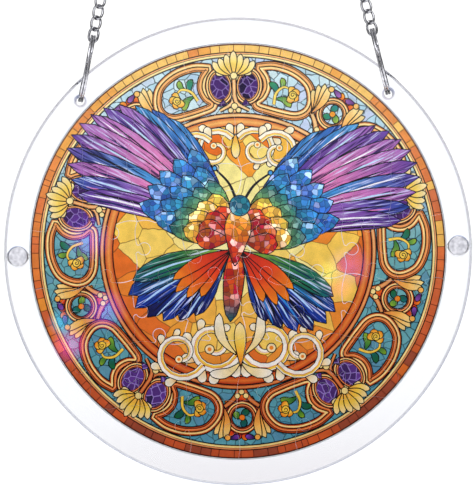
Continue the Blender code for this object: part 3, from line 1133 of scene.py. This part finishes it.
def make_jigsaw(material):
    picture = draw_picture()
    cuts = [outline + inward_at(outline) * (CUT_INSET + PRINT_BEVEL) for outline in puzzle_outlines()]
    shapes = [shape.outline for shape in picture.shapes]
    guides = [shape.guide for shape in picture.shapes if shape.guide is not None]
    places, faces = triangulated(shapes + cuts, guides, filling_points())
    middles = places[faces].mean(1)
    piece_of = owners_of(cuts, middles)
    layers = printed_corners(picture, places, faces, owners_of(shapes, middles))
    layers = dict(zip(("print_colour", "print_pattern", "print_barbs"), layers))
    middle_y = (RING_LOW.y + RING_HIGH.y) / 2
    nodes = cad_pieces()
    for number, cut in enumerate(cuts):
        mine = piece_of == number
        middle = complex(cut.real.min() + cut.real.max(), cut.imag.min() + cut.imag.max()) / 2
        node = min(nodes, key=lambda name: abs(nodes[name] - middle))
        name = node.replace("puzzle_piece", "printed_piece")
        own_layers = {attribute: values[mine] for attribute, values in layers.items()}
        piece = printed_piece(name, places, faces[mine], own_layers, middle_y, material)
        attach(piece, "root")
        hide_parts(node)


# ---- Clear sheets and magnets ----

SHEET_BEVEL = 0.5
RING_BEVEL = 0.08
# A face is flat where the cosine of the angle between its normal and the sheet's is above this
FLAT_FACE = 0.999
MAGNET_BEVEL = 0.22
SHEET_SIDES = 240
OPENING_SIDES = 200
HOLE_SIDES = 40
MAGNET_SIDES = 44


def flat_solid(name, outlines, bevel, middle_y, materials):
    """A sheet with rounded edges: the first outline is its rim and the others are holes."""
    curve = bpy.data.curves.new(name, "CURVE")
    curve.dimensions = "2D"
    curve.fill_mode = "BOTH"
    curve.extrude = (SHEET_THICKNESS / 2 - bevel) * MM
    curve.bevel_depth = bevel * MM
    curve.bevel_resolution = 2
    curve.offset = -bevel * MM
    for outline in outlines:
        spline = curve.splines.new("POLY")
        spline.points.add(len(outline) - 1)
        spline.use_cyclic_u = True
        for point, place in zip(spline.points, outline):
            point.co = (place.real * MM, place.imag * MM, 0, 1)
    mesh = curve_mesh(curve, materials)
    weld(mesh)
    for face in mesh.polygons:
        face.use_smooth = abs(face.normal.z) < FLAT_FACE
    solid = placed(name, mesh)
    solid.location = (0, middle_y, DISC_Z)
    solid.rotation_euler = (math.pi / 2, 0, 0)
    return solid


def hanging_holes():
    return [HOLE_CIRCLE * 1j * np.exp(1j * HOLE_ANGLE * side) for _, side in SIDES]


def finish_edges(solid, holes):
    """Cut edges take the solid's second material, grey for painted shade, and matt walls of hanging holes
    its third.
    """
    for face in solid.data.polygons:
        here = complex(face.center.x, face.center.y) / MM
        beside_magnet = abs(abs(here.real) - MAGNET_CIRCLE) < 2 * POCKET_RADIUS
        level_with_magnet = abs(here.imag) < 2 * POCKET_RADIUS
        pocket = beside_magnet and level_with_magnet and abs(here) < DISC_RADIUS - SHEET_BEVEL
        if abs(face.normal.z) < FLAT_FACE and not pocket:
            drilled = any(abs(here - hole) < HOLE_RADIUS + SHEET_BEVEL for hole in holes)
            face.material_index = 2 if drilled else 1


def make_sheets(materials):
    rim = circle(0, DISC_RADIUS, SHEET_SIDES)
    holes = [circle(place, HOLE_RADIUS - SHEET_BEVEL, HOLE_SIDES) for place in hanging_holes()]
    pockets = [circle(side * MAGNET_CIRCLE, POCKET_RADIUS, MAGNET_SIDES) for _, side in SIDES]
    opening = circle(0, FRAME_RING_INNER_RADIUS, OPENING_SIDES)
    for name, node, low, high, bevel, outlines in (
        ("acrylic_cover", "front_cover", COVER_LOW, COVER_HIGH, SHEET_BEVEL, [rim, *holes, *pockets]),
        ("acrylic_ring", "frame_ring", RING_LOW, RING_HIGH, RING_BEVEL, [rim, opening, *holes, *pockets]),
        ("acrylic_back", "back_plate", BACK_LOW, BACK_HIGH, SHEET_BEVEL, [rim, *holes]),
    ):
        sheet = flat_solid(name, outlines, bevel, (low.y + high.y) / 2, materials)
        finish_edges(sheet, hanging_holes())
        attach(sheet, "root")
        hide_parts(node)


def make_magnets(material):
    for side_name, side in SIDES:
        for layer in ("cover", "ring"):
            node = f"magnet_{layer}_{side_name}"
            low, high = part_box(node)
            outline = circle(side * MAGNET_CIRCLE, MAGNET_RADIUS, MAGNET_SIDES)
            middle_y = (low.y + high.y) / 2
            magnet = flat_solid("nickel_" + node, [outline], MAGNET_BEVEL, middle_y, (material,))
            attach(magnet, "root")
            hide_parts(node)


# ---- Split rings and chain ----

RING_MIDDLE = RING_SEAT + RING_RADIUS - RING_WIRE_HEIGHT
RUN_START = RING_MIDDLE + RING_RADIUS - RING_WIRE_HEIGHT - RING_TO_LINK_GAP
RUN_END = RUN_START + LINKS_PER_RUN * LINK_PITCH
MIDDLE_LINK_DROP = LINK_WIDTH / 2 - LINK_WIRE
HOLE_ACROSS = HOLE_CIRCLE * math.sin(HOLE_ANGLE)
HOLE_Z = DISC_Z / MM + HOLE_CIRCLE * math.cos(HOLE_ANGLE)
LEAN = math.asin((HOLE_ACROSS - LINK_PITCH / 2) / RUN_END)
RING_STATIONS = 220
RING_CORNER = 0.26
LINK_POINTS = 28


def along_run(side, distance):
    """The point at a distance from the hanging hole along a run, in metres."""
    hole = Vector((side * HOLE_ACROSS, 0, HOLE_Z))
    return (hole + Vector((-side * math.sin(LEAN), 0, math.cos(LEAN))) * distance) * MM


def ring_section():
    """The wire's section, across and in from the ring's outside, with rounded corners."""
    corners = []
    half = RING_WIRE_WIDTH / 2 - RING_CORNER
    for middle, start in (
        (complex(half, RING_CORNER), 270),
        (complex(half, RING_WIRE_HEIGHT - RING_CORNER), 0),
        (complex(-half, RING_WIRE_HEIGHT - RING_CORNER), 90),
        (complex(-half, RING_CORNER), 180),
    ):
        corners += list(arc(middle, RING_CORNER, start, start + 90, 4))
    return corners


def split_ring_mesh(material):
    """Two turns of flat wire about X, side by side, with one sloping step on the front."""
    coil_x = (RING_WIRE_WIDTH + RING_COIL_GAP) / 2
    start = RING_STEP_AT + RING_STEP / 2
    sweep = 4 * math.pi - RING_STEP
    step_begins = 2 * math.pi + RING_STEP_AT - RING_STEP / 2
    section = ring_section()
    size = len(section)
    vertices = []
    faces = []
    for number in range(RING_STATIONS + 1):
        turn = start + sweep * number / RING_STATIONS
        part = min(1.0, max(0.0, (turn - step_begins) / RING_STEP))
        middle = coil_x * (2 * part * part * (3 - 2 * part) - 1)
        for corner in section:
            radius = RING_RADIUS - corner.imag
            x = middle + corner.real
            vertices.append((x * MM, -radius * math.sin(turn) * MM, radius * math.cos(turn) * MM))
        if number:
            upper = (number - 1) * size
            for corner in range(size):
                after = (corner + 1) % size
                faces.append((upper + corner, upper + after, upper + size + after, upper + size + corner))
    faces.append(tuple(range(size)))
    faces.append(tuple(range(RING_STATIONS * size, (RING_STATIONS + 1) * size)))
    mesh = bpy.data.meshes.new("split_ring")
    mesh.from_pydata(vertices, [], faces)
    weld(mesh)
    mesh.materials.append(material)
    return mesh


def make_split_rings(material):
    for side_name, side in SIDES:
        ring = placed("steel_ring_" + side_name, split_ring_mesh(material))
        ring.location = along_run(side, RING_MIDDLE)
        ring.rotation_mode = "ZYX"
        ring.rotation_euler = (0, -side * LEAN, -side * RING_YAW)
        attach(ring, "root")
        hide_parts("split_ring_" + side_name)


def add_link(curve, middle, lean, low_twist, high_twist):
    """One oval link of round wire, its two ends twisted against each other."""
    half_length = (LINK_PITCH + LINK_WIRE) / 2
    half_width = (LINK_WIDTH - LINK_WIRE) / 2
    spline = curve.splines.new("POLY")
    spline.points.add(LINK_POINTS - 1)
    spline.use_cyclic_u = True
    power = 2 / LINK_SQUARENESS
    for number, point in enumerate(spline.points):
        turn = 2 * math.pi * number / LINK_POINTS
        x = half_width * math.copysign(abs(math.sin(turn)) ** power, math.sin(turn))
        z = half_length * math.copysign(abs(math.cos(turn)) ** power, math.cos(turn))
        twist = z / half_length * (high_twist if z > 0 else low_twist)
        across = x * math.cos(twist)
        place = Vector((across * math.cos(lean) + z * math.sin(lean), x * math.sin(twist), 0))
        place.z = z * math.cos(lean) - across * math.sin(lean)
        point.co = (*(middle + place * MM), 1)


def make_chain(material):
    curve = bpy.data.curves.new("chain_links", "CURVE")
    curve.dimensions = "3D"
    curve.bevel_depth = LINK_WIRE / 2 * MM
    curve.bevel_resolution = 2
    add_link(curve, Vector((0, 0, -MIDDLE_LINK_DROP * MM)), math.pi / 2, 0, 0)
    for side in (-1, 1):
        for number in range(LINKS_PER_RUN):
            middle = along_run(side, RUN_START + (number + 0.5) * LINK_PITCH)
            add_link(curve, middle, -side * LEAN, LINK_TWIST if number else 0, LINK_TWIST)
    mesh = curve_mesh(curve, (material,))
    mesh.shade_smooth()
    chain = placed("chain_links", mesh)
    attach(chain, "root")
    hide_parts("chain")


# ---- Materials ----

# Each crackle's cell and line in millimetres, and how strongly its line shows
PANEL_CRACKLE = (3.3, 0.18, 0.8)
MIDDLE_CRACKLE = (7.6, 0.16, 0.75)
SCALE_CRACKLE = (1.75, 0.12, 0.6, 0.75)
GEM_CRACKLE = (2.2, 0.15, 0.8)
PANEL_BLUE = (206, 230, 242)
PANEL_WHITE = (255, 255, 252)
PANEL_LILAC = (232, 216, 250)
LINE_GOLD = (104, 62, 22)
GEM_DARK = (22, 12, 52)
GEM_LIGHT = (86, 44, 130)
LINE_GEM = (150, 124, 196)
BARB_DARK = (16, 16, 70)
BARB_LIGHT = (216, 222, 250)
BARB_STRETCH = 0.05
BARB_SCALE = 1.8
CELL_DRIFT = 2.4
GLOW_REACH = 0.62
GLOW_SCATTER = 0.36
ACRYLIC_IOR = 1.49
# Scales of noise, for each metre: the sheets' ripple, the wire's tarnish and grain, the magnets' glue and
# plating
RIPPLE_SCALE = 60.0
TARNISH_SCALE = 900.0
GRAIN_SCALE = 5200.0
GLUE_SCALE = 700.0
PLATING_SCALE = 1500.0
# Heights of bumps, in metres
PRINT_BUMP = 0.00002
STEEL_BUMP = 0.00001
NICKEL_BUMP = 0.00004


def printed_material():
    """The print on the pieces: painted colours, each kind of glass with its own crackle."""
    g = Finish("printed_acrylic")
    here = g.disc_place()
    drift = g.vector("SUBTRACT", g.noise(here, 0.16, 3).outputs["Color"], (0.5, 0.5, 0.5))
    bent = g.vector("ADD", here, g.scaled(drift, CELL_DRIFT))
    colour = g.node("Attribute", attribute_name="print_colour").outputs["Color"]
    pattern = g.node("Attribute", attribute_name="print_pattern")
    panels, scales, middle = g.channels(pattern.outputs["Color"])[:3]
    roundels = pattern.outputs["Alpha"]

    def crackle(cell, line, strength, randomness=1.0):
        """A random colour for each cell, its place, and how much of the line between cells shows."""
        cells = g.voronoi(bent, cell, "F1", randomness).outputs
        edge = g.voronoi(bent, cell, "DISTANCE_TO_EDGE", randomness).outputs["Distance"]
        shown = g.between(edge, line / cell * 0.5, line / cell * 1.3, strength, 0.0)
        return g.channels(cells["Color"]), cells["Position"], shown

    lot, _, lead = crackle(*PANEL_CRACKLE)
    tint = g.mix(lot[0], rgba(PANEL_BLUE), rgba(PANEL_WHITE))
    tint = g.mix(g.between(lot[1], 0.6, 0.9, 0.0, 0.6), tint, rgba(PANEL_LILAC))
    glass = g.mix(lead, g.mix(1.0, colour, tint, "MULTIPLY"), rgba(LINE_TEAL))
    lot, place, lead = crackle(*MIDDLE_CRACKLE)
    reach = g.vector("DISTANCE", place, GLOW_MIDDLE, output="Value")
    reach = g.maths("MULTIPLY", reach, GLOW_REACH / MIDDLE_FIELD)
    share = g.maths("ADD", reach, g.maths("MULTIPLY", lot[1], GLOW_SCATTER))
    glow = g.mix(lead, g.ramp(share, GOLDEN_STOPS), rgba(LINE_GOLD))
    gold = g.mix(1.0, glow, colour, "MULTIPLY")
    lot, _, lead = crackle(*SCALE_CRACKLE)
    vivid = g.node("HueSaturation", (("Color", colour), ("Hue", g.between(lot[0], 0, 1, 0.485, 0.525))))
    g.feed(vivid.inputs["Value"], g.between(lot[1], 0.0, 1.0, 0.62, 1.4))
    sheen = g.node("HueSaturation", (("Color", vivid.outputs[0]), ("Saturation", 0.62), ("Value", 1.9)))
    shiny = g.mix(g.between(lot[2], 0.74, 0.96), vivid.outputs[0], sheen.outputs[0])
    scaly = g.mix(lead, shiny, rgba(LINE_NAVY))
    lot, _, lead = crackle(*GEM_CRACKLE)
    gem = g.mix(lead, g.mix(lot[2], rgba(GEM_DARK), rgba(GEM_LIGHT)), rgba(LINE_GEM))

    quills = g.node("Attribute", attribute_name="print_barbs")
    feathered = quills.outputs["Alpha"]
    lengthwise, crosswise, feather = g.channels(quills.outputs["Color"])[:3]
    lengthwise = g.maths("MULTIPLY", lengthwise, BARB_STRETCH)
    stretched = g.node("CombineXYZ", ((0, lengthwise), (1, crosswise), (2, feather))).outputs[0]
    barb = g.noise(stretched, BARB_SCALE, 2).outputs[0]
    light = g.between(barb, 0.55, 0.68, 0.0, 0.8)
    dark = g.between(barb, 0.47, 0.34, 0.0, 0.88)
    streaked = g.mix(light, g.mix(dark, colour, rgba(BARB_DARK)), rgba(BARB_LIGHT))
    colour = g.mix(feathered, colour, streaked)

    colour = g.mix(panels, colour, glass)
    colour = g.mix(middle, colour, gold)
    colour = g.mix(scales, colour, scaly)
    colour = g.mix(roundels, colour, gem)
    wash = g.mottle(here, 0.33, 4, 0.9, 1.06)
    grain = g.mottle(here, 3.0, 2, 0.93, 1.05)
    colour = g.mix(1.0, colour, g.grey(g.maths("MULTIPLY", wash, grain)), "MULTIPLY")
    g.surface(Base_Color=colour, Roughness=g.mottle(here, 1.2, 3, 0.3, 0.45), Specular_IOR_Level=0.08)
    g.bump(g.noise(here, 2.2, 3).outputs[0], PRINT_BUMP)
    return g.material


def clear_material(name, roughness, ripple, tint):
    """Clear acrylic: plain see-through values, with a faint ripple of the cast sheet."""
    g = Finish(name)
    g.surface(Base_Color=tint, Roughness=roughness, IOR=ACRYLIC_IOR, Transmission_Weight=1.0)
    g.bump(g.noise(g.object_place(), RIPPLE_SCALE, 2).outputs[0], ripple)
    return g.material


# The greys of plated steel and of nickel, by the value of their noise
STEEL_GREYS = ((0.3, (148, 148, 154)), (0.5, (182, 182, 188)), (0.75, (208, 208, 214)))
NICKEL_GREYS = ((0.3, (146, 146, 154)), (0.5, (178, 178, 186)), (0.7, (206, 206, 212)))


def steel_material():
    """Bright plated wire: a fine grain and a little tarnish."""
    g = Finish("polished_steel")
    here = g.object_place()
    tarnish = g.ramp(g.noise(here, TARNISH_SCALE, 4).outputs[0], STEEL_GREYS)
    grain = g.noise(here, GRAIN_SCALE, 3).outputs[0]
    g.surface(Base_Color=tarnish, Metallic=1.0, Roughness=g.between(grain, 0.25, 0.75, 0.16, 0.34))
    g.bump(grain, STEEL_BUMP)
    return g.material


def nickel_material():
    """Nickel plate, mottled by the glue over it."""
    g = Finish("nickel")
    here = g.object_place()
    glue = g.noise(here, GLUE_SCALE, 4).outputs[0]
    roughness = g.between(glue, 0.3, 0.7, 0.55, 0.35)
    g.surface(Base_Color=g.ramp(glue, NICKEL_GREYS), Metallic=0.4, Roughness=roughness)
    g.bump(g.noise(here, PLATING_SCALE, 3).outputs[0], NICKEL_BUMP)
    return g.material


# ---- Surroundings and camera ----

# In metres: the floor's place and size, the camera's distance, how much it sees from top to bottom at the
# disc, and its place beside the disc's middle
FLOOR_DROP = 0.5
FLOOR_SIZE = 1.6
FLOOR_MIDDLE_Y = -0.3
CAMERA_DISTANCE = 0.75
VIEW_HEIGHT = 0.16025
CAMERA_ASIDE = (-0.0005, 0.0004)
ROLL = math.radians(1.4)
# The studio as the camera sees it, as matt surfaces do, and through the glass at the sides and behind
ROOM_WHITE = (1.12, 1.12, 1.12, 1.0)
EVEN_LIGHT = (1.4, 2.05)
SIDE_LOW = (0.92, 0.92, 0.94, 1.0)
SIDE_HIGH = (0.42, 0.48, 0.68, 1.0)
BACKDROP_LOW = (1.10, 1.06, 1.08, 1.0)
BACKDROP_HIGH = (1.32, 1.32, 1.32, 1.0)
# Where the studio changes, by the height of a direction, or by how far it points along Y: from, to
SIDE_RISE = (-0.1, 0.25)
BACKDROP_RISE = (-0.115, -0.05)
BACKDROP_AHEAD = (0.955, 0.985)
MIRROR_AHEAD = (0.982, 0.991)
# The greys that the sheets and the metal reflect, by height or along Y: from, to, and the greys there. The
# last is the share that is left of them along X.
MIRROR_RISE_GREY = (-0.12, 0.14, 0.02, 0.2)
ROOM_RISE_GREY = (-0.5, 0.7, 0.38, 0.7)
ROOM_AHEAD_GREY = (0.5, 0.9, 0.0, 0.7)
ROOM_ASIDE_SHARE = (0.12, 0.55, 1.0, 0.02)
# Soft lights: name, place beside the disc's middle, size, power
LAMPS = (
    ("soft_above", (0.25, -0.6, 0.9), (0.9, 0.6), 5.0),
    ("soft_left", (-0.9, -0.5, 0.2), (0.5, 0.9), 3.0),
)
# Coloured gleams of the studio on the acrylic: across and up on the disc, size, colour, strength
GLEAMS = (
    (-48, 5, 9, (150, 90, 255), 5.0),
    (-43, -18, 8, (170, 90, 255), 5.0),
    (-54, -29, 7, (255, 60, 190), 6.0),
    (-57, -22, 5, (60, 200, 255), 5.0),
    (36, -6, 8, (150, 110, 255), 3.0),
    (30, -8, 5, (210, 255, 110), 3.5),
    (33, -13, 5, (255, 110, 150), 3.5),
)


def make_floor():
    middle = (0, FLOOR_MIDDLE_Y, DISC_Z - DISC_RADIUS * MM - FLOOR_DROP)
    bpy.ops.mesh.primitive_plane_add(size=FLOOR_SIZE, location=middle)
    floor = bpy.context.active_object
    floor.name = "floor"
    g = Finish("floor")
    g.surface(Base_Color=g.grey(g.mottle(g.object_place(), 3.0, 3, 0.82, 0.88)), Roughness=0.9)
    floor.data.materials.append(g.material)


def make_world():
    """A white studio: even light, blue-grey sides through the glass, darker reflections low down."""
    world = bpy.data.worlds.new("studio")
    world.use_nodes = True
    g = Graph(world.node_tree)
    way = g.node("TexCoord").outputs["Generated"]
    split = g.node("SeparateXYZ", ((0, way),)).outputs
    kind = g.node("LightPath").outputs
    even = g.grey(g.between(split[2], -1.0, 1.0, *EVEN_LIGHT))
    facing = g.maths("ABSOLUTE", split[1])
    side = g.mix(g.between(split[2], *SIDE_RISE), SIDE_LOW, SIDE_HIGH)
    backdrop = g.mix(g.between(split[2], *BACKDROP_RISE), BACKDROP_LOW, BACKDROP_HIGH)
    through = g.mix(g.between(facing, *BACKDROP_AHEAD), side, backdrop)
    ahead = g.between(split[2], *MIRROR_RISE_GREY)
    height = g.between(split[2], *ROOM_RISE_GREY)
    around_front = g.maths("MAXIMUM", g.between(facing, *ROOM_AHEAD_GREY), height)
    unsided = g.between(g.maths("ABSOLUTE", split[0]), *ROOM_ASIDE_SHARE)
    around_front = g.maths("MULTIPLY", around_front, unsided)
    glossy = g.mix(g.between(facing, *MIRROR_AHEAD), g.grey(around_front), g.grey(ahead))
    for across, up, size, colour, strength in GLEAMS:
        middle = Vector((across * MM, -CAMERA_DISTANCE, up * MM)).normalized()
        gap = g.vector("DISTANCE", way, tuple(middle), output="Value")
        glow = g.between(gap, 0.0, size * MM / CAMERA_DISTANCE, strength, 0.0)
        gleam = g.mix(1.0, g.grey(glow), rgba(colour), "MULTIPLY")
        glossy = g.mix(1.0, glossy, gleam, "ADD")
    light = g.mix(kind["Is Camera Ray"], through, ROOM_WHITE)
    light = g.mix(g.maths("MINIMUM", kind["Glossy Depth"], 1.0), light, glossy)
    light = g.mix(g.maths("MINIMUM", kind["Diffuse Depth"], 1.0), light, even)
    g.feed(world.node_tree.nodes["Background"].inputs["Color"], light)
    world.cycles.sampling_method = "NONE"
    bpy.context.scene.world = world


def make_light(name, offset, size, power):
    """A soft light that faces the disc's middle."""
    data = bpy.data.lights.new(name, "AREA")
    data.shape = "RECTANGLE"
    data.size, data.size_y = size
    data.energy = power
    lamp = placed(name, data)
    lamp.location = Vector(offset) + Vector((0, 0, DISC_Z))
    lamp.rotation_euler = (-Vector(offset)).to_track_quat("-Z", "Y").to_euler()


def make_camera():
    data = bpy.data.cameras.new("camera")
    data.lens = data.sensor_width * CAMERA_DISTANCE / VIEW_HEIGHT
    data.clip_start = 0.01
    camera = placed("camera", data)
    across, up = CAMERA_ASIDE
    camera.location = (across, FRONT_Y - CAMERA_DISTANCE, DISC_Z + up)
    camera.rotation_euler = (math.pi / 2, ROLL, 0)
    bpy.context.scene.camera = camera


def make_studio():
    make_floor()
    make_world()
    for lamp in LAMPS:
        make_light(*lamp)
    bpy.context.scene.view_settings.view_transform = "Standard"
    make_camera()


CLEAR = clear_material("clear_acrylic", roughness=0.0, ripple=0.000004, tint=(0.985, 0.99, 1.0, 1.0))
# The cut edges' grey tint is painted shade that darkens the disc's rim line.
EDGE = clear_material("acrylic_edge_painted_shade", roughness=0.06, ripple=0.0, tint=(0.62, 0.62, 0.66, 1.0))
FROSTED = clear_material("frosted_acrylic", roughness=0.5, ripple=0.00003, tint=(0.86, 0.83, 0.90, 1.0))
STEEL = steel_material()
make_jigsaw(printed_material())
make_sheets((CLEAR, EDGE, FROSTED))
make_magnets(nickel_material())
make_split_rings(STEEL)
make_chain(STEEL)
make_studio()
